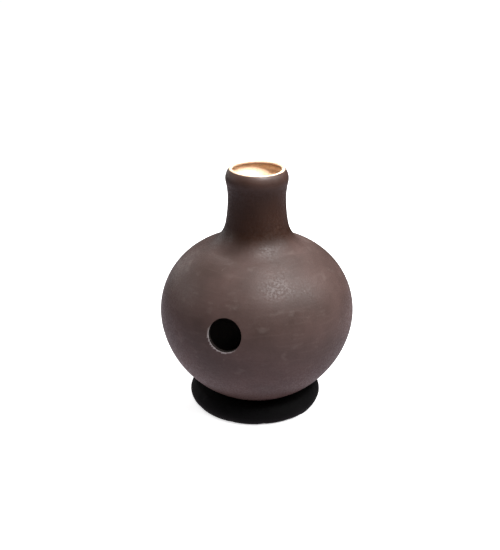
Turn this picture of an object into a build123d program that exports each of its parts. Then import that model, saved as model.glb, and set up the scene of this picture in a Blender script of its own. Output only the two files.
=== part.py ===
from build123d import *
import os
from math import acos, asin, cos, degrees, radians, sqrt, tan

# Udu drum: a thrown clay pot with a round side hole, resting loose in a soft ring.
# Frame: origin on the floor under the middle of the ring, +Z up, side hole facing -Y.

# Belly of the pot, millimetres and degrees
wall = 6.0  # clay, measured square to the surface
belly_radius = 150.0  # at the widest line
belly_arc_radius = 114.6  # profile arc through the widest line, up into the shoulder
bottom_arc_angle = 11.2  # below the widest line, where the rounder bottom takes over

# Side hole and the seam between the two thrown bowls
hole_diameter = 50.0
hole_rise = 21.0  # hole centre above the widest line
hole_edge_radius = 1.5
seam_below_hole = 12.0  # clay left between the hole and the seam
seam_bevel = 4.0  # rise of the seam across the wall, outside to inside

# Neck and lip
waist_radius = 43.9  # narrowest place on the neck, outside
waist_rise = 31.6  # waist above the centre of the arc at the neck's root
flare_radius = 223.5  # concave profile below the waist
throat_radius = 106.8  # concave profile between waist and lip
lip_overhang = 3.5  # lip stands out past the waist
lip_arc_radius = 21.7
rim_angle = 41.7  # lip arc ends here, above the horizontal, and the rim turns in
bore_edge_radius = 2.2  # neck hole in the shoulder, softened inside

# Coil of clay worked into the corner between neck and shoulder
coil_arc_radius = 48.7
coil_edge = 1.5  # clay left at its smoothed-out edges

# Soft ring: foam core in a sewn cover
ring_outer_radius = 103.7
ring_inner_radius = 60.0
ring_height = 29.2
ring_outer_bulge = 11.2  # outer side swells past its top and bottom edges
ring_inner_bulge = 8.0
ring_crown = 0.8  # top swells above its edges
seat_width = 14.8  # hollow that the pot presses into the ring
seat_edge_radius = 3.0
seat_clearance = 0.3  # pot to cover
cover_thickness = 1.2
core_clearance = 0.2  # foam to cover

# The pot sits in the ring, so its heights follow from the ring's
bottom_arc_radius = belly_arc_radius + (belly_radius - belly_arc_radius) / cos(radians(bottom_arc_angle))
seat_radius = ring_inner_radius + seat_width
seat_reach = bottom_arc_radius + seat_clearance
bottom_centre = (0, ring_height + sqrt(seat_reach**2 - seat_radius**2))
belly_centre_radius = belly_radius - belly_arc_radius
belly_height = bottom_centre[1] - belly_centre_radius * tan(radians(bottom_arc_angle))
belly_centre = (belly_centre_radius, belly_height)
dome_reach = waist_radius - 2 * wall  # shoulder arc runs in to here, inside the neck's bore
hole_height = belly_height + hole_rise
seam_height = hole_height - hole_diameter / 2 - seam_below_hole

# Arc at the neck's root, tangent to the shoulder and to the neck's flare
flare_centre_radius = waist_radius + flare_radius
root_radius = flare_centre_radius - sqrt((flare_radius - coil_arc_radius) ** 2 - waist_rise**2)
root_reach = belly_arc_radius + coil_arc_radius
root_height = belly_height + sqrt(root_reach**2 - (root_radius - belly_centre_radius) ** 2)
root_centre = (root_radius, root_height)

# Neck arcs, each tangent to the next
waist_height = root_height + waist_rise
flare_centre = (flare_centre_radius, waist_height)
throat_centre = (waist_radius + throat_radius, waist_height)
lip_reach = throat_radius + lip_arc_radius
lip_angle = degrees(acos((lip_reach - lip_overhang) / lip_reach))
lip_centre_radius = waist_radius + lip_overhang - lip_arc_radius
lip_centre = (lip_centre_radius, waist_height + sqrt(lip_reach**2 - (lip_reach - lip_overhang) ** 2))
neck_start_height = belly_height + belly_arc_radius - 3 * wall  # inside the belly, below the shoulder


def toward(start, end, distance):
    """Point at a distance from start, on the line to end."""
    direction = (Vector(*end) - Vector(*start)).normalized()
    return Vector(*start) + direction * distance


def arc_radius(chord, rise):
    """Radius of the arc that stands rise above its chord."""
    return (chord**2 / 4 + rise**2) / (2 * rise)


def belly_region(inset):
    """Half section of the belly, from the axis to its surface drawn in by inset."""
    side_radius = belly_arc_radius - inset
    dome_angle = degrees(acos((dome_reach - belly_centre_radius) / side_radius))
    with BuildSketch(Plane.XZ) as region:
        with BuildLine():
            bottom = CenterArc(bottom_centre, bottom_arc_radius - inset, -90, 90 - bottom_arc_angle)
            side = CenterArc(belly_centre, side_radius, dome_angle, -dome_angle - bottom_arc_angle)
            Polyline(side @ 0, (0, (side @ 0).Y), bottom @ 0)
        make_face()
    return region.sketch_local


def neck_region(inset):
    """Half section of the neck, from the axis to its surface drawn in by inset."""
    flare_drop = degrees(asin((waist_height - neck_start_height) / (flare_radius + inset)))
    with BuildSketch(Plane.XZ) as region:
        with BuildLine():
            flare = CenterArc(flare_centre, flare_radius + inset, 180 + flare_drop, -flare_drop)
            CenterArc(throat_centre, throat_radius + inset, 180, -lip_angle)
            lip = CenterArc(lip_centre, lip_arc_radius - inset, -lip_angle, lip_angle + rim_angle)
            Polyline(lip @ 1, lip_centre, (0, lip_centre[1]), (0, neck_start_height), flare @ 0)
        make_face()
    return region.sketch_local


# Section of the coil: the corner outside shoulder and neck, hollowed by the root arc
coil_reach = 1.6 * coil_arc_radius  # past the corner, into the clay of neck and shoulder
with BuildSketch(Plane.XZ) as coil_section:
    shoulder_corner = toward(root_centre, belly_centre, coil_reach)
    neck_corner = toward(root_centre, flare_centre, -coil_reach)
    Polygon(root_centre, neck_corner, shoulder_corner)
    with Locations(root_centre):
        Circle(coil_arc_radius, mode=Mode.SUBTRACT)
    add(belly_region(coil_edge), mode=Mode.SUBTRACT)
    add(neck_region(coil_edge), mode=Mode.SUBTRACT)

# Section of the neck: an even wall with a rounded rim, standing on the shoulder
with BuildSketch(Plane.XZ) as neck_section:
    add(neck_region(0))
    add(neck_region(wall), mode=Mode.SUBTRACT)
    with Locations(lip_centre):
        with PolarLocations(lip_arc_radius - wall / 2, 1, start_angle=rim_angle):
            Circle(wall / 2)
    add(belly_region(coil_edge), mode=Mode.SUBTRACT)
    add(coil_section.sketch_local, mode=Mode.SUBTRACT)

# All that lies below the bevelled seam
seam_reach = 2 * wall  # past the wall on both sides
seam_lift = seam_reach * seam_bevel / wall
seam_outside = (belly_radius + seam_reach, seam_height - seam_lift)
seam_inside = (belly_radius - seam_reach, seam_height + seam_lift)
with BuildSketch(Plane.XZ) as below_seam:
    Polygon((0, 0), (seam_outside[0], 0), seam_outside, seam_inside, (0, seam_inside[1]))

# Lower bowl of the pot, with its round bottom
with BuildPart() as lower_bowl:
    with BuildSketch(Plane.XZ):
        add(belly_region(0))
        add(belly_region(wall), mode=Mode.SUBTRACT)
        add(below_seam.sketch_local, mode=Mode.INTERSECT)
    revolve(axis=Axis.Z)

# Upper bowl: shoulder dome with the neck's hole in its top and the side hole
with BuildPart() as upper_bowl:
    with BuildSketch(Plane.XZ) as dome_section:
        add(belly_region(0))
        add(belly_region(wall), mode=Mode.SUBTRACT)
        add(neck_region(wall), mode=Mode.SUBTRACT)
        add(below_seam.sketch_local, mode=Mode.SUBTRACT)
        add(coil_section.sketch_local, mode=Mode.SUBTRACT)
        add(neck_section.sketch_local, mode=Mode.SUBTRACT)
        bore_edge = dome_section.vertices().sort_by(Axis.X)[:2].sort_by(Axis.Y)[0]
        fillet(bore_edge, radius=min(bore_edge_radius, (wall - coil_edge) / 2))
    revolve(axis=Axis.Z)
    with BuildSketch(Plane.XZ):
        with Locations((0, hole_height)):
            Circle(hole_diameter / 2)
    extrude(amount=belly_radius + wall, mode=Mode.SUBTRACT)
    hole_wall = upper_bowl.faces().filter_by(GeomType.CYLINDER).sort_by(Axis.Y)[0]
    fillet(hole_wall.edges(), radius=min(hole_edge_radius, wall / 4))

# Neck, from its section above
with BuildPart() as neck:
    add(neck_section.sketch)
    revolve(axis=Axis.Z)

# Coil, from its section above
with BuildPart() as neck_coil:
    add(coil_section.sketch)
    revolve(axis=Axis.Z)

# Soft ring: arcs of its swollen sides and top
side_height = ring_height - ring_crown
ring_inner_edge = ring_inner_radius + ring_inner_bulge
ring_outer_edge = ring_outer_radius - ring_outer_bulge
ring_middle = (ring_inner_edge + ring_outer_edge) / 2
outer_side_radius = arc_radius(side_height, ring_outer_bulge)
inner_side_radius = arc_radius(side_height, ring_inner_bulge)
crown_radius = arc_radius(ring_outer_edge - ring_inner_edge, ring_crown)
outer_side_centre = (ring_outer_radius - outer_side_radius, side_height / 2)
inner_side_centre = (ring_inner_radius + inner_side_radius, side_height / 2)


def ring_region(inset):
    """Section of the soft ring drawn in by inset, dished where the pot lies in it."""
    with BuildSketch(Plane.XZ) as region:
        with Locations(outer_side_centre):
            Circle(outer_side_radius - inset)
        with Locations(inner_side_centre):
            Circle(inner_side_radius - inset)
        Polygon(
            (inner_side_centre[0], inset),
            (outer_side_centre[0], inset),
            (outer_side_centre[0], ring_height),
            (inner_side_centre[0], ring_height),
        )
        with Locations((ring_middle, ring_height - crown_radius)):
            Circle(crown_radius - inset, mode=Mode.INTERSECT)
        Polygon(
            (ring_inner_radius, inset),
            (ring_outer_radius, inset),
            (ring_outer_radius, ring_height),
            (ring_inner_radius, ring_height),
            mode=Mode.INTERSECT,
        )
        add(belly_region(-seat_clearance - inset), mode=Mode.SUBTRACT)
        seat_edge = region.vertices().sort_by_distance((seat_radius, ring_height))[0]
        fillet(seat_edge, radius=seat_edge_radius - inset)
    return region.sketch_local


# Cover, sewn shut around the core
with BuildPart() as ring_cover:
    with BuildSketch(Plane.XZ):
        add(ring_region(0))
        add(ring_region(cover_thickness), mode=Mode.SUBTRACT)
    revolve(axis=Axis.Z)

# Core, which fills the cover
with BuildPart() as ring_core:
    with BuildSketch(Plane.XZ):
        add(ring_region(cover_thickness + core_clearance))
    revolve(axis=Axis.Z)

os.makedirs("parts", exist_ok=True)
pieces = {
    "lower_bowl": lower_bowl,
    "upper_bowl": upper_bowl,
    "neck": neck,
    "neck_coil": neck_coil,
    "ring_cover": ring_cover,
    "ring_core": ring_core,
}
for name, piece in pieces.items():
    piece.part.label = name
    export_step(piece.part, f"parts/{name}.step")
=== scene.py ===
# %% [markdown]
# An udu is a pot drum. A potter throws two bowls, joins them rim to rim, sets a thrown neck
# on top and cuts a round hole in the side; the player claps a palm on the hole or on the
# mouth. The bottom is round, so the pot rests in a soft ring. All hard sizes are in the CAD
# model, so the lesson starts by loading that as a frame which is never moved. The looks are
# then built around it, in metres and in the same place.

# %% Load the frame
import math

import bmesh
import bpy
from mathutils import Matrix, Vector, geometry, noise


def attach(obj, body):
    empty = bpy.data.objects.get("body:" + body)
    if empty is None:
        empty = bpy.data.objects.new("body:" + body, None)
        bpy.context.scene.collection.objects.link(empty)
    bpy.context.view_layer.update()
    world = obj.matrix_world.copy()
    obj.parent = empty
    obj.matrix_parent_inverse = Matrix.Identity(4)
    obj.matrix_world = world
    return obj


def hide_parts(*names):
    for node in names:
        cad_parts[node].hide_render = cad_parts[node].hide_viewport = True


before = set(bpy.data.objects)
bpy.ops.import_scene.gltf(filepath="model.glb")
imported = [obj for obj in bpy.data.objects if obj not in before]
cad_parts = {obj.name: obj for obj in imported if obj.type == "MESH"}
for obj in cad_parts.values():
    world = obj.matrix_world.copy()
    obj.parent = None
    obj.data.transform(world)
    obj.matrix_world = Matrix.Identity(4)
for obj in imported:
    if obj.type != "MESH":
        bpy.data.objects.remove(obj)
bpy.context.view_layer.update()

# %% [markdown]
# Shapes are made with bmesh, Blender's mesh editor for scripts, because its spin and bevel do what
# a potter's wheel and a wet finger do. Sizes are written in millimetres and multiplied by MM.

MM = 0.001

# %% [markdown]
# The photograph looks down on the pot from a little to the right of its side hole. The lens
# could be guessed by eye, but the outline was measured instead: the eye is 1.5 m away and
# 23 degrees up, and the pot stands a little to the right of the picture's middle. Moving the
# whole camera sideways for that keeps the lens straight, so other views need no correction.

# %% Camera
def outward(azimuth, rise):
    """Direction out of the pot's middle: azimuth 0 is the side hole's side, 90 is +X."""
    around, up = math.radians(azimuth), math.radians(rise)
    return Vector((math.sin(around) * math.cos(up), -math.cos(around) * math.cos(up), math.sin(up)))


eye_azimuth = 18.6
eye_rise = 23.37
eye_distance = 1.5
eye_lens = 63.41
picture_middle = Vector((0, 0, 209.3 * MM))
pot_right_of_middle = 10.4 * MM
eye_side = outward(eye_azimuth + 90, 0)
eye_target = picture_middle - eye_side * pot_right_of_middle
camera = bpy.data.objects.new("camera", bpy.data.cameras.new("camera"))
camera.data.lens = eye_lens
camera.location = eye_target + outward(eye_azimuth, eye_rise) * eye_distance
camera.rotation_euler = outward(eye_azimuth, eye_rise).to_track_quat("Z", "Y").to_euler()
bpy.context.scene.collection.objects.link(camera)
bpy.context.scene.camera = camera
print("camera stands at", [round(part, 3) for part in camera.location])

# %% [markdown]
# The light is that of a small studio: soft boxes over the pot, on its right and behind it,
# two weak ones low on the left that keep that side from going black, and one under the paper
# for the light that paper throws back. A bright world all round would be simpler, but it
# lights the clay from everywhere and washes out the dark neck. The powers were fitted to the
# brightness of the pot in the photograph. The Standard view keeps pixel values close to what
# a camera's own picture gives, where other views would flatten the dark clay.

# %% Studio light
lamp_target = Vector((0, 0, 0.2))
box_distance, box_width = 2.0, 1.0
box_places = {  # azimuth, rise, watts
    "box_front_right": (60, 60, 33),
    "box_right": (100, 40, 14),
    "box_overhead": (140, 75, 13.5),
    "box_behind": (200, 45, 17),
    "box_low_behind": (240, 12, 3.6),
    "box_low_left": (280, 20, 4.3),
}
bounce_distance, bounce_width, bounce_watts = 0.23, 2.0, 7.9
bounce_tint = (1.0, 0.89, 0.98)


def soft_lamp(name, azimuth, rise, distance, width, watts):
    """A square lamp that faces the pot's middle."""
    lamp = bpy.data.objects.new(name, bpy.data.lights.new(name, "AREA"))
    lamp.data.size = width
    lamp.data.energy = watts
    lamp.location = lamp_target + outward(azimuth, rise) * distance
    lamp.visible_camera = False
    lamp.rotation_euler = outward(azimuth, rise).to_track_quat("Z", "Y").to_euler()
    bpy.context.scene.collection.objects.link(lamp)
    return lamp


for name, (azimuth, rise, watts) in box_places.items():
    soft_lamp(name, azimuth, rise, box_distance, box_width, watts)
paper_bounce = soft_lamp("paper_bounce", 0, -90, bounce_distance, bounce_width, bounce_watts)
paper_bounce.data.color = bounce_tint
bpy.context.scene.view_settings.view_transform = "Standard"
print("soft lamps:", [lamp.name for lamp in bpy.data.lights])

# %% [markdown]
# In the photograph a bright patch lies inside the mouth, brighter than the boxes can make it.
# A lamp inside the neck would light the whole neck evenly, so a narrow one shines in from
# above. Its beam would also show the dark inside of the belly through the side hole, so it
# is linked to a collection that will hold the neck alone. It is no lamp of a real studio:
# once the neck is made, it is tied to it, so that the beam stays in the mouth when the pot is
# lifted.

# %% Light in the mouth
mouth_middle = Vector((0, 0, 380 * MM))
mouth_azimuth, mouth_rise = 46, 60
mouth_distance = 1.5
mouth_lamp = bpy.data.lights.new("box_into_mouth", "SPOT")
mouth_lamp.energy = 760
mouth_lamp.shadow_soft_size = 0.02
mouth_lamp.spot_size = math.radians(2.9)
mouth_lamp.spot_blend = 1.0
mouth_spot = bpy.data.objects.new("box_into_mouth", mouth_lamp)
mouth_spot.location = mouth_middle + outward(mouth_azimuth, mouth_rise) * mouth_distance
mouth_spot.rotation_euler = outward(mouth_azimuth, mouth_rise).to_track_quat("Z", "Y").to_euler()
mouth_spot.visible_camera = False
lit_in_mouth = bpy.data.collections.new("lit_in_mouth")
mouth_spot.light_linking.receiver_collection = lit_in_mouth
bpy.context.scene.collection.objects.link(mouth_spot)
print("beam into the mouth is", round(2 * mouth_distance * math.tan(mouth_lamp.spot_size / 2) / MM),
      "mm wide")

# %% [markdown]
# Every finish is a tree of nodes. Three small helpers keep those trees short: one turns a
# colour picked as a hex value into the linear numbers that Blender works in, one adds a node
# with its settings and its links, and one starts a new material.

# %% Helpers for finishes
def linear(hex_colour):
    """An sRGB hex colour as linear RGBA."""
    shades = [int(hex_colour[place:place + 2], 16) / 255 for place in (1, 3, 5)]
    return [s / 12.92 if s <= 0.04045 else ((s + 0.055) / 1.055) ** 2.4 for s in shades] + [1.0]


def add_node(tree, kind, inputs=(), **settings):
    """Adds a node. Inputs are (socket, value) pairs, where a value may be another socket."""
    node = tree.nodes.new(kind)
    for name, value in settings.items():
        setattr(node, name, value)
    for socket, value in inputs:
        if isinstance(value, bpy.types.NodeSocket):
            tree.links.new(value, node.inputs[socket])
        else:
            node.inputs[socket].default_value = value
    return node


def new_finish(name):
    """An empty material, its node tree and its Principled shader."""
    finish = bpy.data.materials.new(name)
    finish.use_nodes = True
    return finish, finish.node_tree, finish.node_tree.nodes["Principled BSDF"]


print("helpers ready; mid grey is", [round(part, 3) for part in linear("#808080")[:3]])

# %% [markdown]
# The photograph's background is plain white paper. Here that is a white world and a white
# floor that only the camera sees. Real paper would light the pot strongly from below, and the
# pot in the photograph is dark there, so its share is left to the lamp under the floor. The
# floor glows almost white by itself, and the lamps add the rest where no shadow falls, so a
# faint shadow stays under the ring. Inside the ring it doesn't glow, because no light would
# get there in a real studio either.

# %% White paper
white = (1, 1, 1, 1)
floor_reach = 12.0
ring_shade = (80 * MM, 105 * MM)  # the glow sets in under the ring
shadow_reach = (0.15, 0.7)  # and is full where no shadow falls
glow_in_shadow = 0.88
room = bpy.data.worlds.new("white_paper")
room.use_nodes = True
room.node_tree.nodes["Background"].inputs["Color"].default_value = white
bpy.context.scene.world = room
room.cycles_visibility.diffuse = False
room.cycles_visibility.glossy = False
floor_shape = bmesh.new()
bmesh.ops.create_circle(floor_shape, cap_ends=True, segments=96, radius=floor_reach)
floor_mesh = bpy.data.meshes.new("floor")
floor_shape.to_mesh(floor_mesh)
floor_shape.free()
floor = bpy.data.objects.new("floor", floor_mesh)
bpy.context.scene.collection.objects.link(floor)
floor.visible_diffuse = False
floor.visible_glossy = False
floor.visible_shadow = False
paper, paper_tree, paper_shader = new_finish("matt_white_paper")
paper_shader.inputs["Base Color"].default_value = linear("#f4f4f4")
paper_shader.inputs["Roughness"].default_value = 0.9
paper_shader.inputs["Specular IOR Level"].default_value = 0.1
paper_shader.inputs["Emission Color"].default_value = white
paper_place = add_node(paper_tree, "ShaderNodeTexCoord").outputs["Object"]
from_middle = add_node(paper_tree, "ShaderNodeVectorMath", [(0, paper_place)], operation="LENGTH")
far_glow = add_node(paper_tree, "ShaderNodeMapRange", [
    ("Value", from_middle.outputs["Value"]),
    ("From Min", shadow_reach[0]), ("From Max", shadow_reach[1]),
    ("To Min", glow_in_shadow), ("To Max", 1.0)])
glow = add_node(paper_tree, "ShaderNodeMapRange", [
    ("Value", from_middle.outputs["Value"]),
    ("From Min", ring_shade[0]), ("From Max", ring_shade[1]),
    ("To Max", far_glow.outputs[0])])
paper_tree.links.new(glow.outputs[0], paper_shader.inputs["Emission Strength"])
floor_mesh.materials.append(paper)
print("floor of", len(floor_mesh.vertices), "corners")

# %% [markdown]
# A thrown pot is a profile turned on a wheel, so it is modelled in the same way. The profile
# is a chain of arcs, each tangent to the next: round bottom, belly, the hollow at the neck's
# root, the flare up to the waist, the throat and the swollen lip. Points here are (distance
# from the axis, height).

# %% The profile's arcs
wall = 6.0 * MM
coil_edge = 1.5 * MM
bottom_arc, bottom_middle = 150.687 * MM, Vector((0.0, 160.357)) * MM
belly_arc, belly_middle = 114.6 * MM, Vector((35.4, 153.347)) * MM
root_arc, root_middle = 48.7 * MM, Vector((95.48, 305.194)) * MM
flare_arc, flare_middle = 223.5 * MM, Vector((267.4, 336.794)) * MM
throat_arc, throat_middle = 106.8 * MM, Vector((150.7, 336.794)) * MM
lip_arc, lip_middle = 21.7 * MM, Vector((25.7, 366.58)) * MM
belly_start_angle = -11.2
seam_outside_angle = -7.68
seam_inside_angle = -6.13
rim_angle = 41.7


def at_angle(middle, arc, angle):
    """Point on an arc, by its angle above the horizontal."""
    return middle + arc * Vector((math.cos(math.radians(angle)), math.sin(math.radians(angle))))


def along(middle, other, arc):
    """Point on an arc where the line from its middle to another point crosses it."""
    return middle + (other - middle).normalized() * arc


def crossing(middle_a, arc_a, middle_b, arc_b):
    """Point nearest the axis where two arcs cross."""
    both = geometry.intersect_sphere_sphere_2d(middle_a, arc_a, middle_b, arc_b)
    return min(both, key=lambda point: point.x)


belly_start = at_angle(belly_middle, belly_arc, belly_start_angle)
belly_start_inside = at_angle(belly_middle, belly_arc - wall, belly_start_angle)
seam_outside = at_angle(belly_middle, belly_arc, seam_outside_angle)
seam_inside = at_angle(belly_middle, belly_arc - wall, seam_inside_angle)
shoulder_end = along(belly_middle, root_middle, belly_arc)
root_end = along(flare_middle, root_middle, flare_arc)
coil_foot = along(belly_middle, root_middle, belly_arc - coil_edge)
coil_head = along(flare_middle, root_middle, flare_arc + coil_edge)
waist = flare_middle - Vector((flare_arc, 0))
lip_start = along(throat_middle, lip_middle, throat_arc)
paint_edge = at_angle(lip_middle, lip_arc, rim_angle)
print("waist in mm:", [round(part / MM, 2) for part in waist],
      "paint edge:", [round(part / MM, 2) for part in paint_edge])

# %% [markdown]
# A profile is drawn stroke by stroke: its last point is swung round an arc's middle with Blender's
# spin, or led straight to the next point. The finished profile is turned round the pot's axis,
# again with spin. Each point carries numbers that the spin copies to the whole turn: how far it has
# climbed along the clay, which the marks of the potter's fingers follow, and how far past the edge
# of the dark coat it is. A third number, for a painted highlight on the side hole's edge, stays 0
# until the side hole is cut.

# %% Helpers for turned pieces
turn_steps = 360
fine, coarse = 2.6 * MM, 6.0 * MM
merge_distance = 0.002 * MM


def ease(value, low, high):
    """Smooth step from 0 at low to 1 at high."""
    part = min(max((value - low) / (high - low), 0.0), 1.0)
    return part * part * (3 - 2 * part)


def swing(shape, last, middle, end, spacing):
    """Swings the last vertex round an arc's middle until it reaches end."""
    before = math.atan2(last.co.z - middle[1], last.co.x - middle[0])
    after = math.atan2(end[1] - middle[1], end[0] - middle[0])
    sweep = (after - before + math.pi) % math.tau - math.pi
    steps = math.ceil(abs(sweep) * (end - middle).length / spacing)
    swung = bmesh.ops.spin(shape, geom=[last], cent=(middle[0], 0, middle[1]),
                           axis=(0, -1, 0), angle=sweep, steps=steps)
    return swung["geom_last"][0]


def lead(shape, last, end):
    """Draws a straight line from the last vertex."""
    tip = bmesh.ops.extrude_vert_indiv(shape, verts=[last])["verts"][0]
    tip.co = (end[0], 0, end[1])
    return tip


def draw_profile(start, strokes, closed=True, marks=("climb", "past_coat", "painted_highlight")):
    """A new shape that holds a profile. A stroke is (middle, end, spacing): an arc round a
    middle with points that far apart, or a straight line where the middle is None."""
    shape = bmesh.new()
    for mark in marks:
        shape.verts.layers.float.new(mark)
    first = bmesh.ops.create_vert(shape, co=(start[0], 0, start[1]))["vert"][0]
    last = first
    for middle, end, spacing in strokes:
        if middle is None:
            last = lead(shape, last, end)
        else:
            last = swing(shape, last, middle, end, spacing)
    if closed:
        bmesh.ops.contextual_create(shape, geom=[last, first])
    return shape


def mark_profile(shape, climbed, coated):
    """Stores the climb along the clay, and the way past the coat's edge, at each vertex.
    Coated is how far along the profile the dark coat reaches. Returns the climb there."""
    climb = shape.verts.layers.float["climb"]
    past_coat = shape.verts.layers.float["past_coat"]
    way, before = 0.0, None
    for vertex in shape.verts:
        if before:
            way += (vertex.co - before.co).length
        vertex[climb] = climbed + min(way, coated)
        vertex[past_coat] = way - coated
        before = vertex
    return climbed + coated


def turn_profile(shape, steps):
    """Turns a profile once round the axis. A spin slows down as the shape grows, so it only
    makes a quarter, which is then copied three times."""
    bmesh.ops.spin(shape, geom=shape.verts[:] + shape.edges[:], cent=(0, 0, 0), axis=(0, 0, 1),
                   angle=math.tau / 4, steps=steps // 4)
    bmesh.ops.spin(shape, geom=shape.verts[:] + shape.edges[:] + shape.faces[:], cent=(0, 0, 0),
                   axis=(0, 0, 1), angle=math.tau * 3 / 4, steps=3, use_duplicate=True)
    bmesh.ops.remove_doubles(shape, verts=shape.verts[:], dist=merge_distance)
    bmesh.ops.dissolve_degenerate(shape, edges=shape.edges[:], dist=merge_distance)
    bmesh.ops.recalc_face_normals(shape, faces=shape.faces[:])


print("turned pieces get", turn_steps, "steps round; points up the outside are at most",
      fine / MM, "mm apart")

# %% [markdown]
# The lower bowl starts on the axis at the very bottom, runs out along the round bottom and
# up to the seam where the potter joined the two bowls, and comes back along the inside.

# %% Lower bowl
lower_shape = draw_profile(bottom_middle - Vector((0, bottom_arc)), [
    (bottom_middle, belly_start, fine),
    (belly_middle, seam_outside, fine),
    (None, seam_inside, None),
    (belly_middle, belly_start_inside, fine),
    (bottom_middle, bottom_middle - Vector((0, bottom_arc - wall)), coarse),
], closed=False)
bottom_sweep = math.radians(90 + belly_start_angle)
side_sweep = math.radians(seam_outside_angle - belly_start_angle)
climbed = mark_profile(lower_shape, 0.0, bottom_sweep * bottom_arc + side_sweep * belly_arc)
turn_profile(lower_shape, turn_steps)
print("lower bowl:", len(lower_shape.faces), "faces, climb", round(climbed / MM, 1), "mm")

# %% [markdown]
# The upper bowl goes on from the seam to the place where the coil of clay at the neck's root
# begins. There it steps in under the coil, runs to the bore below the neck and comes back
# along the inside of the shoulder.

# %% Upper bowl
bore_top = crossing(flare_middle, flare_arc + wall, belly_middle, belly_arc - coil_edge)
bore_foot = crossing(flare_middle, flare_arc + wall, belly_middle, belly_arc - wall)
upper_shape = draw_profile(seam_outside, [
    (belly_middle, shoulder_end, fine),
    (None, coil_foot, None),
    (belly_middle, bore_top, coarse),
    (flare_middle, bore_foot, fine),
    (belly_middle, seam_inside, fine),
])
shoulder_sweep = (math.atan2(*reversed(shoulder_end - belly_middle))
                  - math.radians(seam_outside_angle))
climbed = mark_profile(upper_shape, climbed, shoulder_sweep * belly_arc)
turn_profile(upper_shape, turn_steps)
print("upper bowl:", len(upper_shape.faces), "faces, climb", round(climbed / MM, 1), "mm")

# %% [markdown]
# The side hole was cut in the leather-hard clay with a round cutter and its edge was wiped
# round with a wet finger. A Boolean would leave slivers that spoil the smooth shading, so the
# faces inside the circle are taken out, the ragged edges left behind are pulled on to the
# circle, the outside is bridged to the inside, and both edges are bevelled round.

# %% Side hole
hole_radius = 25.0 * MM
hole_height = 174.347 * MM
hole_soft_edge = 1.5 * MM
smoothed_reach = 9 * MM
smoothing_passes = 8
middle_wall = belly_arc - wall / 2


def from_hole(point):
    """Sideways and upward distance from the hole's middle."""
    return Vector((point.x, point.z - hole_height))


def lay_on_belly(vertex, inset):
    """Moves a vertex along Y on to the belly's front surface."""
    rise = vertex.co.z - belly_middle.y
    out = belly_middle.x + math.sqrt((belly_arc - inset) ** 2 - rise ** 2)
    vertex.co.y = -math.sqrt(out ** 2 - vertex.co.x ** 2)


def depth_in_wall(vertex):
    """Zero on the belly's outer surface, the wall's thickness on its inner one."""
    out = Vector((Vector(vertex.co.xy).length, vertex.co.z)) - belly_middle
    return 0.0 if out.length > middle_wall else wall


plug = [face for face in upper_shape.faces if face.calc_center_median().y < 0
        and from_hole(face.calc_center_median()).length < hole_radius]
bmesh.ops.delete(upper_shape, geom=plug, context="FACES")
hole_edges = [edge for edge in upper_shape.edges if edge.is_boundary]
hole_rim = {vertex for edge in hole_edges for vertex in edge.verts}
for vertex in hole_rim:
    inset = depth_in_wall(vertex)
    across = from_hole(vertex.co).normalized() * hole_radius
    vertex.co.x, vertex.co.z = across.x, across.y + hole_height
    lay_on_belly(vertex, inset)
hole_near = [vertex for vertex in upper_shape.verts if vertex.co.y < 0 and vertex not in hole_rim
             and from_hole(vertex.co).length < hole_radius + smoothed_reach]
for _ in range(smoothing_passes):
    insets = [depth_in_wall(vertex) for vertex in hole_near]
    bmesh.ops.smooth_vert(upper_shape, verts=hole_near, factor=0.5,
                          use_axis_x=True, use_axis_y=False, use_axis_z=True)
    for vertex, inset in zip(hole_near, insets):
        lay_on_belly(vertex, inset)
bmesh.ops.bridge_loops(upper_shape, edges=hole_edges)
bmesh.ops.bevel(upper_shape, geom=hole_edges, offset=hole_soft_edge, offset_type="OFFSET",
                affect="EDGES", segments=4, profile=0.5, material=-1, clamp_overlap=True)
bmesh.ops.recalc_face_normals(upper_shape, faces=upper_shape.faces[:])
print("side hole:", len(plug), "faces cut out,", len(hole_edges), "edges rounded,",
      sum(edge.is_boundary for edge in upper_shape.edges), "left open")

# %% [markdown]
# The hole's edge is coloured pale low on the left, a painted highlight where that side of the
# rounded edge faces up into the light. The cut wall behind it is left bare, so it takes the painted
# shade of the inside. Both are stored as numbers on the points near the edge, for the finish to
# read.

# %% Painted highlight and shade at the side hole
edge_reach = hole_soft_edge * 0.45
cut_reach = hole_soft_edge / 30
bare_and_shaded_on_cut = 2 * MM
lit_side = Vector((-0.6, -0.8))
lit_full = 0.8
past_coat = upper_shape.verts.layers.float["past_coat"]
painted_highlight_layer = upper_shape.verts.layers.float["painted_highlight"]
highlit_count = 0
# Painted highlight: the rounded edge is coloured pale on its lower left, where it faces the light.
# Painted shade: the cut wall is marked bare, so it takes the dark colour of the inside.
for vertex in upper_shape.verts:
    across = from_hole(vertex.co)
    outside = across.length - hole_radius
    if vertex.co.y < 0 and depth_in_wall(vertex) == 0 and outside < edge_reach:
        if outside < cut_reach:
            vertex[past_coat] = bare_and_shaded_on_cut
        else:
            vertex[painted_highlight_layer] = ease(across.normalized().dot(lit_side), 0.0, lit_full)
            highlit_count += 1
print("hole's edge:", highlit_count, "points where hands may rub")

# %% [markdown]
# A coil of soft clay was pressed into the corner between shoulder and neck and wiped hollow.
# Its section is a thin triangle with one hollow side.

# %% Coil at the neck's root
coil_corner = crossing(flare_middle, flare_arc + coil_edge, belly_middle, belly_arc - coil_edge)
coil_shape = draw_profile(shoulder_end, [
    (root_middle, root_end, fine),
    (None, coil_head, None),
    (flare_middle, coil_corner, coarse),
    (belly_middle, coil_foot, coarse),
])
root_sweep = (root_end - root_middle).angle(shoulder_end - root_middle)
climbed = mark_profile(coil_shape, climbed, root_sweep * root_arc)
turn_profile(coil_shape, turn_steps)
print("coil:", len(coil_shape.faces), "faces, climb", round(climbed / MM, 1), "mm")

# %% [markdown]
# The neck is a thrown tube. The dark coat was brushed on up to the lip's shoulder, so the
# rim and the inside are bare buff clay. The rim is a half round, drawn as two quarters.

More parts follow.
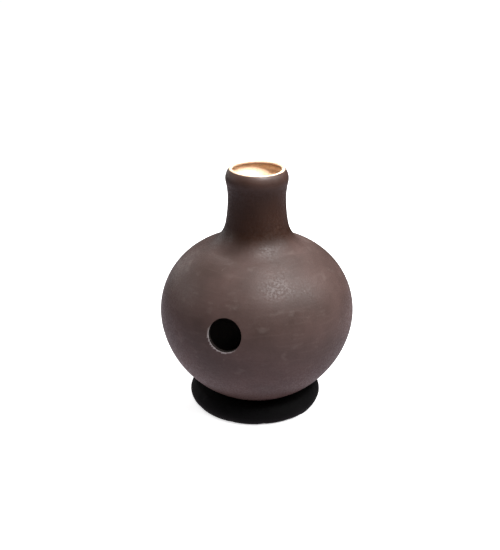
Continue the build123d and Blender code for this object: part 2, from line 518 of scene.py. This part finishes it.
# %% Neck
rim_round = wall / 2
rim_middle = at_angle(lip_middle, lip_arc - rim_round, rim_angle)
neck_shape = draw_profile(root_end, [
    (flare_middle, waist, fine),
    (throat_middle, lip_start, fine),
    (lip_middle, paint_edge, fine / 3),
    (rim_middle, at_angle(rim_middle, rim_round, rim_angle + 90), fine / 4),
    (rim_middle, at_angle(rim_middle, rim_round, rim_angle + 180), fine / 4),
    (lip_middle, along(lip_middle, throat_middle, lip_arc - wall), fine / 2),
    (throat_middle, waist - Vector((wall, 0)), fine),
    (flare_middle, bore_top, fine),
    (belly_middle, coil_corner, coarse),
    (flare_middle, coil_head, coarse),
])
neck_coat = (flare_arc * (root_end - flare_middle).angle(waist - flare_middle)
             + throat_arc * (waist - throat_middle).angle(lip_start - throat_middle)
             + lip_arc * (lip_start - lip_middle).angle(paint_edge - lip_middle))
climbed = mark_profile(neck_shape, climbed, neck_coat)
turn_profile(neck_shape, turn_steps)
print("neck:", len(neck_shape.faces), "faces, climb", round(climbed / MM, 1), "mm")

# %% [markdown]
# No pot comes off a wheel quite true. It dries a little oval, the fingers leave faint rings,
# and the rim rises and falls by a hair. These moves are fractions of a millimetre, so they
# bend highlights and never the outline, and they fade out where the pot sits in its ring.
# The starting angles of the waves are free choices that keep them from lining up.

# %% The potter's hand
oval_depth = 0.30 * MM
sway_depth = 0.15 * MM
finger_spacing, finger_depth = 9 * MM, 0.035 * MM
rim_wave = 0.22 * MM
seat_top, free_height = 45 * MM, 110 * MM


def press_hand(shape):
    """Makes a turned shape slightly oval, ringed by fingers and uneven at the rim."""
    climb = shape.verts.layers.float["climb"]
    for vertex in shape.verts:
        height, out = vertex.co.z, Vector(vertex.co.xy).length
        if out < MM:
            continue
        angle = math.atan2(vertex.co.y, vertex.co.x)
        oval = oval_depth * math.sin(2 * angle + 0.7 + 5 * height)
        sway = sway_depth * math.sin(3 * angle - 1.1 + 11 * height)
        finger = math.sin(math.tau * vertex[climb] / finger_spacing + 1.5 * math.sin(angle))
        rings = finger_depth * finger * (0.5 + 0.5 * math.sin(52 * vertex[climb]))
        stretch = 1 + ease(height, seat_top, free_height) * (oval + sway + rings) / out
        vertex.co.x *= stretch
        vertex.co.y *= stretch
        lift = rim_wave * math.sin(2 * angle + 0.9)
        vertex.co.z += lift * ease(height, waist.y, paint_edge.y)


for shape in (lower_shape, upper_shape, coil_shape, neck_shape):
    press_hand(shape)
print("rim's highest point:", round(max(vertex.co.z for vertex in neck_shape.verts) / MM, 2), "mm")

# %% [markdown]
# The pot's finish is two clays. The body is buff earthenware, pale and open-grained where it
# is bare. Over it lies a brushed engobe, a coat of fine dark brown clay that fires matt with
# a slight satin where hands rub it: the eye gets a soft broad highlight broken up by grit,
# faint streaks that follow the wheel, cloudy patches, a few dusty smudges and faint scuffs.
# The inside of the belly is coloured dark, as painted shade. One material holds all of it, so that
# no join shows between the pieces. It starts with the patterns, each as wide as the real mark.

# %% Finish: patterns of engobe over buff earthenware
clay, clay_tree, clay_shader = new_finish("brown_engobe_on_buff_earthenware")
place = add_node(clay_tree, "ShaderNodeTexCoord").outputs["Object"]
past = add_node(clay_tree, "ShaderNodeAttribute", attribute_name="past_coat").outputs["Fac"]
climb = add_node(clay_tree, "ShaderNodeAttribute", attribute_name="climb").outputs["Fac"]
# Streaks are as wide as a finger's ring and eight times as long, round the wheel.
streak_width = 7.0 * MM
round_wheel = add_node(clay_tree, "ShaderNodeMapping", [
    ("Vector", place), ("Scale", (0.12, 0.12, 0.0))])
up_wheel = add_node(clay_tree, "ShaderNodeCombineXYZ", [("Z", climb)])
wheel = add_node(clay_tree, "ShaderNodeVectorMath", [
    (0, round_wheel.outputs[0]), (1, up_wheel.outputs[0])])
streaks = add_node(clay_tree, "ShaderNodeTexNoise", [
    ("Vector", wheel.outputs[0]), ("Scale", 1 / streak_width), ("Detail", 3.0), ("Roughness", 0.6)])
cloud_width = 55.0 * MM
clouds = add_node(clay_tree, "ShaderNodeTexNoise", [
    ("Vector", place), ("Scale", 1 / cloud_width), ("Detail", 4.0), ("Roughness", 0.55)])
# Engobe grit is about 0.3 mm; drawn at 2.8 mm, the finest that the render shows well.
grit_width = 2.8 * MM
grit = add_node(clay_tree, "ShaderNodeTexNoise", [
    ("Vector", place), ("Scale", 1 / grit_width), ("Detail", 2.0), ("Roughness", 0.6)])
smudge_width = 16.0 * MM
smudges = add_node(clay_tree, "ShaderNodeTexNoise", [
    ("Vector", place), ("Scale", 1 / smudge_width), ("Detail", 5.0), ("Roughness", 0.7)])
# Scuffs lie flat and a little aslant, because the pot is turned as it is set down.
scuff_width = 13.0 * MM
scuff_place = add_node(clay_tree, "ShaderNodeMapping", [
    ("Vector", place), ("Rotation", (0.2, 0.15, 0.3)), ("Scale", (0.55, 0.55, 1.0))])
scuffs = add_node(clay_tree, "ShaderNodeTexNoise", [
    ("Vector", scuff_place.outputs[0]), ("Scale", 1 / scuff_width), ("Detail", 3.0),
    ("Roughness", 0.5)])
pattern_widths = (streak_width, cloud_width, grit_width, smudge_width, scuff_width)
print("clay patterns:", [round(width / MM, 1) for width in pattern_widths], "mm wide")

# %% [markdown]
# The engobe is a brown that wanders between two shades. Streaks, smudges and scuffs each lay a
# paler brown over it where their pattern is strong. From the hollow at the neck's root up, the
# brown is darker and warmer, and a little less so over the lip.

# %% Finish: the engobe's colour
# The brown is darker from the neck's root up; these heights set where that begins.
darker_from, darker_full = 263 * MM, 290 * MM
lip_top, lip_foot = 364 * MM, 352 * MM
darkening_on_lip = 0.67
cloudy = add_node(clay_tree, "ShaderNodeMapRange", [
    ("Value", clouds.outputs["Fac"]), ("From Min", 0.35), ("From Max", 0.65)])
brown = add_node(clay_tree, "ShaderNodeMix", [
    ("Factor", cloudy.outputs[0]), (6, linear("#594742")), (7, linear("#68534e"))],
    data_type="RGBA")
streaky = add_node(clay_tree, "ShaderNodeMapRange", [
    ("Value", streaks.outputs["Fac"]), ("From Min", 0.55), ("From Max", 0.8), ("To Max", 0.35)])
streaked = add_node(clay_tree, "ShaderNodeMix", [
    ("Factor", streaky.outputs[0]), (6, brown.outputs[2]), (7, linear("#78655f"))],
    data_type="RGBA")
smudgy = add_node(clay_tree, "ShaderNodeMapRange", [
    ("Value", smudges.outputs["Fac"]), ("From Min", 0.64), ("From Max", 0.74), ("To Max", 0.4)])
smudged = add_node(clay_tree, "ShaderNodeMix", [
    ("Factor", smudgy.outputs[0]), (6, streaked.outputs[2]), (7, linear("#8d7b74"))],
    data_type="RGBA")
scuffed = add_node(clay_tree, "ShaderNodeMapRange", [
    ("Value", scuffs.outputs["Fac"]), ("From Min", 0.6), ("From Max", 0.8), ("To Max", 0.22)])
scratched = add_node(clay_tree, "ShaderNodeMix", [
    ("Factor", scuffed.outputs[0]), (6, smudged.outputs[2]), (7, linear("#a2948d"))],
    data_type="RGBA")
height = add_node(clay_tree, "ShaderNodeSeparateXYZ", [("Vector", place)]).outputs["Z"]
above_root = add_node(clay_tree, "ShaderNodeMapRange", [
    ("Value", height), ("From Min", darker_from), ("From Max", darker_full)],
    interpolation_type="SMOOTHSTEP")
on_neck = add_node(clay_tree, "ShaderNodeMapRange", [
    ("Value", height), ("From Min", lip_top), ("From Max", lip_foot),
    ("To Min", darkening_on_lip), ("To Max", above_root.outputs[0])],
    interpolation_type="SMOOTHSTEP")
engobe = add_node(clay_tree, "ShaderNodeMix", [
    ("Factor", on_neck.outputs[0]), (6, scratched.outputs[2]), (7, linear("#a78c77"))],
    data_type="RGBA", blend_type="MULTIPLY")
print("engobe has", sum(node.type == "MIX" for node in clay_tree.nodes), "layers of colour")

# %% [markdown]
# Bare clay shows past the coat's edge, which a noise about a millimetre wide makes ragged. On the
# rim it is pale buff with darker specks. Just inside the rim it is darkened as painted shade under
# the lip's overhang, and further down the neck it goes over to a near-black painted shade where
# little light reaches. Last comes the painted highlight on the side hole's edge.

# %% Finish: bare clay, painted shade and the coat's edge
# Painted shade: from 345 mm down, the bare clay goes over to near black inside the neck and the
# belly, where little light reaches.
inner_shade_from, inner_shade_full = 345 * MM, 300 * MM
# Painted shade: just inside the rim the buff is darkened, under the lip's overhang.
rim_shade_from, rim_shade_full = 4.8 * MM, 6.4 * MM  # along the clay, past the coat's edge
rim_shade_fades, rim_shade_gone = 9.0 * MM, 15.0 * MM
ragged_width = 1.2 * MM
inner_shade = add_node(clay_tree, "ShaderNodeMapRange", [
    ("Value", height), ("From Min", inner_shade_from), ("From Max", inner_shade_full)],
    interpolation_type="SMOOTHSTEP")
speckled = add_node(clay_tree, "ShaderNodeMapRange", [
    ("Value", grit.outputs["Fac"]), ("From Min", 0.3), ("From Max", 0.5)])
buff = add_node(clay_tree, "ShaderNodeMix", [
    ("Factor", speckled.outputs[0]), (6, linear("#d9b592")), (7, linear("#e8cbae"))],
    data_type="RGBA")
# Painted shade under the rim's inner overhang, fading out further down the neck.
rim_shade_end = add_node(clay_tree, "ShaderNodeMapRange", [
    ("Value", past), ("From Min", rim_shade_fades), ("From Max", rim_shade_gone),
    ("To Min", 1.0), ("To Max", 0.0)])
rim_shade = add_node(clay_tree, "ShaderNodeMapRange", [
    ("Value", past), ("From Min", rim_shade_from), ("From Max", rim_shade_full),
    ("To Max", rim_shade_end.outputs[0])])
rim_shaded = add_node(clay_tree, "ShaderNodeMix", [
    ("Factor", rim_shade.outputs[0]), (6, buff.outputs[2]), (7, linear("#b4a49c"))],
    data_type="RGBA", blend_type="MULTIPLY")
# Painted shade: bare clay goes near black low down, inside the pot and on the hole's cut wall.
bare = add_node(clay_tree, "ShaderNodeMix", [
    ("Factor", inner_shade.outputs[0]), (6, rim_shaded.outputs[2]), (7, linear("#1e1512"))],
    data_type="RGBA")
ragged = add_node(clay_tree, "ShaderNodeMath", [
    (0, smudges.outputs["Fac"]), (1, ragged_width), (2, past)], operation="MULTIPLY_ADD")
coat_edge = add_node(clay_tree, "ShaderNodeMapRange", [
    ("Value", ragged.outputs[0]), ("From Min", 0.4 * ragged_width),
    ("From Max", 0.7 * ragged_width)])
clay_colour = add_node(clay_tree, "ShaderNodeMix", [
    ("Factor", coat_edge.outputs[0]), (6, engobe.outputs[2]), (7, bare.outputs[2])],
    data_type="RGBA")
# Painted highlight: a pale colour on the side hole's edge, low on the left.
painted_highlight = add_node(clay_tree, "ShaderNodeAttribute", attribute_name="painted_highlight").outputs["Fac"]
highlighted_edge = add_node(clay_tree, "ShaderNodeMix", [
    ("Factor", painted_highlight), (6, clay_colour.outputs[2]), (7, linear("#f0e9e5"))], data_type="RGBA")
clay_tree.links.new(highlighted_edge.outputs[2], clay_shader.inputs["Base Color"])
print("coat ends within", ragged_width / MM, "mm of its line")

# %% [markdown]
# Fired engobe is matt, with a satin that wanders as the clouds do. What breaks its highlight into
# grains is that single grits are smoother than the clay between them, so the grit changes the
# roughness as well as the relief. On the neck the grit's relief is weaker. Bare clay is rougher
# than either.

# %% Finish: the clay's gloss and relief
satin = add_node(clay_tree, "ShaderNodeMapRange", [
    ("Value", clouds.outputs["Fac"]), ("From Min", 0.3), ("From Max", 0.7),
    ("To Min", 0.54), ("To Max", 0.67)])
grainy = add_node(clay_tree, "ShaderNodeMapRange", [
    ("Value", grit.outputs["Fac"]), ("From Min", 0.4), ("From Max", 0.6),
    ("To Min", 0.36), ("To Max", satin.outputs[0])])
gloss = add_node(clay_tree, "ShaderNodeMix", [
    ("Factor", coat_edge.outputs[0]), (2, grainy.outputs[0]), (3, 0.85)], data_type="FLOAT")
clay_tree.links.new(gloss.outputs[0], clay_shader.inputs["Roughness"])
clay_shader.inputs["IOR"].default_value = 1.5
clay_shader.inputs["Specular IOR Level"].default_value = 0.4
finger_relief = add_node(clay_tree, "ShaderNodeBump", [
    ("Height", streaks.outputs["Fac"]), ("Strength", 0.5), ("Distance", 0.25 * MM)])
grittiness = add_node(clay_tree, "ShaderNodeMapRange", [
    ("Value", on_neck.outputs[0]), ("To Min", 0.36), ("To Max", 0.15)])
grit_relief = add_node(clay_tree, "ShaderNodeBump", [
    ("Height", grit.outputs["Fac"]), ("Strength", grittiness.outputs[0]),
    ("Distance", 0.22 * MM), ("Normal", finger_relief.outputs[0])])
clay_tree.links.new(grit_relief.outputs[0], clay_shader.inputs["Normal"])
print("clay finish has", len(clay_tree.nodes), "nodes")

# %% [markdown]
# Now the pieces are set down. Each becomes an object that rides on the pot's body in the CAD model,
# stands for its CAD node and takes the clay finish. Shading is smooth, apart from edges sharper
# than 40 degrees, which only the hidden joins have. With the neck in place, the lamp for the mouth
# can be tied to it.

# %% Set down the pot
sharp_edge = math.radians(40)


def set_down(name, shape, node):
    """Makes a shape an object of clay that rides on the pot and replaces a CAD node."""
    mesh = bpy.data.meshes.new(name)
    shape.to_mesh(mesh)
    shape.free()
    mesh.shade_smooth()
    mesh.set_sharp_from_angle(angle=sharp_edge)
    mesh.materials.append(clay)
    piece = bpy.data.objects.new(name, mesh)
    bpy.context.scene.collection.objects.link(piece)
    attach(piece, "pot")
    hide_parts(node)
    print(name, "has", sum(len(face.vertices) - 2 for face in mesh.polygons), "triangles")
    return piece


set_down("lower_bowl_clay", lower_shape, "lower_bowl")
set_down("upper_bowl_clay", upper_shape, "upper_bowl")
set_down("neck_coil_clay", coil_shape, "neck_coil")
neck = set_down("neck_clay", neck_shape, "neck")
lit_in_mouth.objects.link(neck)
mouth_spot.parent = neck

# %% [markdown]
# The ring is a tube of black cotton drill, packed firm with foam and closed to a circle. A
# plain turned ring would pass for moulded rubber. Cloth has a fixed size: on the inside of
# the bend the tube has cloth to spare, which buckles into gathers, while the outside is
# pulled smooth. A cloth simulation gives exactly that, so the ring starts as a turned shape
# a little slimmer than the real one, which is then filled.

# %% Ring before it is filled
ring_steps = 160
ring_cell = 4.0 * MM
side_arc, side_middle = 12.9 * MM, Vector((94.1, 13.2)) * MM
inner_arc, inner_middle = 15.6 * MM, Vector((76.6, 14.2)) * MM
inner_end_angle, foot_angle = 228, 242
seat_edge_radius = 75.4 * MM
seat_gap = 1.3 * MM
seat_arc = bottom_arc + seat_gap
seat_edge_drop = math.sqrt(seat_arc ** 2 - seat_edge_radius ** 2)
seat_edge = Vector((seat_edge_radius, bottom_middle.y - seat_edge_drop))
seat_end = crossing(bottom_middle, seat_arc, inner_middle, inner_arc)
ring_shape = draw_profile(at_angle(inner_middle, inner_arc, foot_angle), [
    (None, side_middle - Vector((0, side_arc)), None),
    (side_middle, side_middle + Vector((side_arc, 0)), ring_cell),
    (side_middle, side_middle + Vector((0, side_arc)), ring_cell),
    (None, seat_edge, None),
    (bottom_middle, seat_end, ring_cell),
    (inner_middle, at_angle(inner_middle, inner_arc, inner_end_angle), ring_cell),
], marks=())
for edge in [edge for edge in ring_shape.edges if edge.calc_length() > 1.5 * ring_cell]:
    cuts = round(edge.calc_length() / ring_cell) - 1
    bmesh.ops.subdivide_edges(ring_shape, edges=[edge], cuts=cuts)
print("ring section has", len(ring_shape.verts), "points; seat from",
      round(seat_end.x / MM, 1), "to", round(seat_edge.x / MM, 1), "mm")
turn_profile(ring_shape, ring_steps)

# %% [markdown]
# Spin gives edges and faces in an order that differs from run to run. A still shape looks the
# same in any order, but the cloth solver adds up its forces in that order, and folds magnify
# the rounding. So edges and faces are sorted by their corners, and the ring folds in the same
# way each time.

# %% Ring's fixed order
def corner_order(part):
    """A number that sorts edges or faces by the indices of their first three corners."""
    order = 0
    for index in (sorted(vertex.index for vertex in part.verts) + [0])[:3]:
        order = order * len(ring_shape.verts) + index
    return order


ring_shape.verts.index_update()
ring_shape.edges.sort(key=corner_order)
ring_shape.faces.sort(key=corner_order)
print("ring sorted:", len(ring_shape.edges), "edges and", len(ring_shape.faces), "faces")

# %% [markdown]
# The weave has to follow the tube, so the ring gets a UV map in metres of cloth: U runs
# along the tube and V round it. Both are angles, and on the faces where an angle starts
# again, its small values are lifted by one turn.

# %% Ring's cloth map
tube_middle = Vector((82.0, 14.2)) * MM
tube_length_radius = 89 * MM
tube_girth_radius = 17 * MM


def ring_angles(point):
    """Angle along the tube and angle round it: 0 is the outer side, a quarter is the top."""
    round_tube = Vector((Vector(point.xy).length, point.z)) - tube_middle
    return math.atan2(point.y, point.x), math.atan2(round_tube.y, round_tube.x)


def unbroken(angles):
    """Lifts the small angles of a face that lies across the start of a turn."""
    broken = max(angles) - min(angles) > math.pi
    return [angle + math.tau if broken and angle < 0 else angle for angle in angles]


cloth_map = ring_shape.loops.layers.uv.new("cloth")
for face in ring_shape.faces:
    lengths, girths = zip(*(ring_angles(loop.vert.co) for loop in face.loops))
    for loop, length, girth in zip(face.loops, unbroken(lengths), unbroken(girths)):
        loop[cloth_map].uv = (length * tube_length_radius, girth * tube_girth_radius)
print("tube is", round(math.tau * tube_length_radius / MM), "mm long and",
      round(math.tau * tube_girth_radius / MM), "mm round")

# %% [markdown]
# Filling: pressure pushes the cloth out from inside, and a vertex group gives the inner side
# up to a quarter more cloth than it has room for. A perfect ring would have no place to start
# a fold, so the inner side is first crumpled by half a millimetre. Twenty frames are enough.

# %% Filling
spare_cloth = 0.25
crumple_depth = 0.012
crumple_fineness = 14
filling_frames = 20
filling_pressure = 90.0


def inner_side(girth):
    """1 on the side of the tube that faces the ring's middle, 0 on its outer half."""
    return max(0.0, -math.cos(girth))


def crumple(point):
    """Moves a point of the inner side in or out by a smooth noise."""
    length, girth = ring_angles(point)
    fold = noise.noise(Vector((crumple_fineness * math.cos(length),
                               crumple_fineness * math.sin(length), girth)))
    stretch = 1 + crumple_depth * fold * inner_side(girth)
    return Vector((point.x * stretch, point.y * stretch, point.z))


def fill_with_foam(piece):
    """Runs the cloth simulation on a piece and returns the filled mesh."""
    taut = piece.vertex_groups.new(name="taut")
    for vertex in piece.data.vertices:
        taut.add([vertex.index], 1 - inner_side(ring_angles(vertex.co)[1]), "REPLACE")
    cloth = piece.modifiers.new("filling", "CLOTH")
    cloth.point_cache.frame_start, cloth.point_cache.frame_end = 1, filling_frames
    cloth.settings.effector_weights.gravity = 0.0
    cloth.settings.use_pressure = True
    cloth.settings.uniform_pressure_force = filling_pressure
    cloth.settings.bending_stiffness = 0.05
    cloth.settings.quality = 6
    cloth.settings.vertex_group_shrink = "taut"
    cloth.settings.shrink_min, cloth.settings.shrink_max = -spare_cloth, 0.0
    for frame_number in range(1, filling_frames + 1):
        bpy.context.scene.frame_set(frame_number)
    settled = piece.evaluated_get(bpy.context.evaluated_depsgraph_get())
    filled = bpy.data.meshes.new_from_object(settled)
    piece.modifiers.remove(cloth)
    piece.vertex_groups.clear()
    bpy.context.scene.frame_set(1)
    return filled


print("filling takes", filling_frames, "frames, with", spare_cloth, "of cloth to spare inside")

# %% [markdown]
# After filling, each point is held within a few millimetres of where it started, on the floor
# or above it, and clear of the pot, which presses its seat into the ring. The pot stands a
# little off the ring's middle, so the ring's outer part is then moved aside.

# %% Fill the ring
fill_limit = 3.0 * MM
pot_clearance = 0.1 * MM
ring_aside = 2.2 * MM
aside_from, aside_full = 76 * MM, 92 * MM


def hold_in_place(point, start):
    """Keeps a filled point near its start, above the floor and clear of the pot."""
    move = point - start
    if move.length > fill_limit:
        point = start + move.normalized() * fill_limit
    pot_middle = Vector((0, 0, bottom_middle.y))
    if (point - pot_middle).length < bottom_arc + pot_clearance:
        point = pot_middle + (point - pot_middle).normalized() * (bottom_arc + pot_clearance)
    return Vector((point.x, point.y, max(point.z, 0.0)))


def lean(point):
    """Moves the ring's outer part aside, to the left in the photograph."""
    outer = ease(Vector(point.xy).length, aside_from, aside_full)
    return point - eye_side * ring_aside * outer


empty_mesh = bpy.data.meshes.new("ring_cushion_empty")
ring_shape.to_mesh(empty_mesh)
ring_shape.free()
ring_cushion = bpy.data.objects.new("ring_cushion", empty_mesh)
bpy.context.scene.collection.objects.link(ring_cushion)
starts = [vertex.co.copy() for vertex in empty_mesh.vertices]
for vertex in empty_mesh.vertices:
    vertex.co = crumple(vertex.co)
filled_mesh = fill_with_foam(ring_cushion)
for vertex, start in zip(filled_mesh.vertices, starts):
    vertex.co = lean(hold_in_place(vertex.co, start))
ring_cushion.data = filled_mesh
moves = sorted((vertex.co - start).length for vertex, start in zip(filled_mesh.vertices, starts))
print("filling and leaning moved the cloth by", round(moves[len(moves) // 2] / MM, 2),
      "mm, at most", round(moves[-1] / MM, 2), "mm")

# %% [markdown]
# Black drill is a cotton twill dyed black. The eye gets almost no highlight, a faint grey
# bloom of fibre ends where the cloth turns away, fine slanting ribs, and a little lint.

# %% Finish: black cotton drill
drill, drill_tree, drill_shader = new_finish("black_cotton_drill")
cloth_place = add_node(drill_tree, "ShaderNodeUVMap", uv_map="cloth").outputs["UV"]
# Real ribs are under a millimetre apart; drawn at 2.2 mm along the tube, the finest that the
# render shows. A diagonal wave texture repeats every tau / 10 of its scale along U and V.
rib_spacing = 2.2 * MM
ribs = add_node(drill_tree, "ShaderNodeTexWave", [
    ("Vector", cloth_place), ("Scale", math.tau / 10 / rib_spacing), ("Distortion", 0.6),
    ("Detail", 1.0)], bands_direction="DIAGONAL")
lint_width = 3.0 * MM
lint = add_node(drill_tree, "ShaderNodeTexNoise", [
    ("Vector", cloth_place), ("Scale", 1 / lint_width), ("Detail", 3.0), ("Roughness", 0.7)])
linty = add_node(drill_tree, "ShaderNodeMapRange", [
    ("Value", lint.outputs["Fac"]), ("From Min", 0.62), ("From Max", 0.8), ("To Max", 0.3)])
black = add_node(drill_tree, "ShaderNodeMix", [
    ("Factor", linty.outputs[0]), (6, linear("#0a0a0a")), (7, linear("#26262a"))],
    data_type="RGBA")
drill_tree.links.new(black.outputs[2], drill_shader.inputs["Base Color"])
drill_shader.inputs["Roughness"].default_value = 0.8
drill_shader.inputs["Specular IOR Level"].default_value = 0.15
drill_shader.inputs["Sheen Weight"].default_value = 0.015
rib_relief = add_node(drill_tree, "ShaderNodeBump", [
    ("Height", ribs.outputs["Fac"]), ("Strength", 0.4), ("Distance", 0.2 * MM)])
drill_tree.links.new(rib_relief.outputs[0], drill_shader.inputs["Normal"])
print("drill ribs", rib_spacing / MM, "mm apart along the tube")

# %% [markdown]
# The ring is set down like the pot, on its own body. It stands for both the cover and the
# foam in the CAD model, because the foam never shows. One subdivision rounds the folds, which
# the simulation leaves as coarse as its cells.

# %% Set down the ring
ring_cushion.data.shade_smooth()
ring_cushion.data.materials.append(drill)
rounding = ring_cushion.modifiers.new("rounding", "SUBSURF")
rounding.levels = rounding.render_levels = 1
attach(ring_cushion, "ring")
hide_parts("ring_cover", "ring_core")
print("ring cushion has", 8 * len(ring_cushion.data.polygons), "triangles")
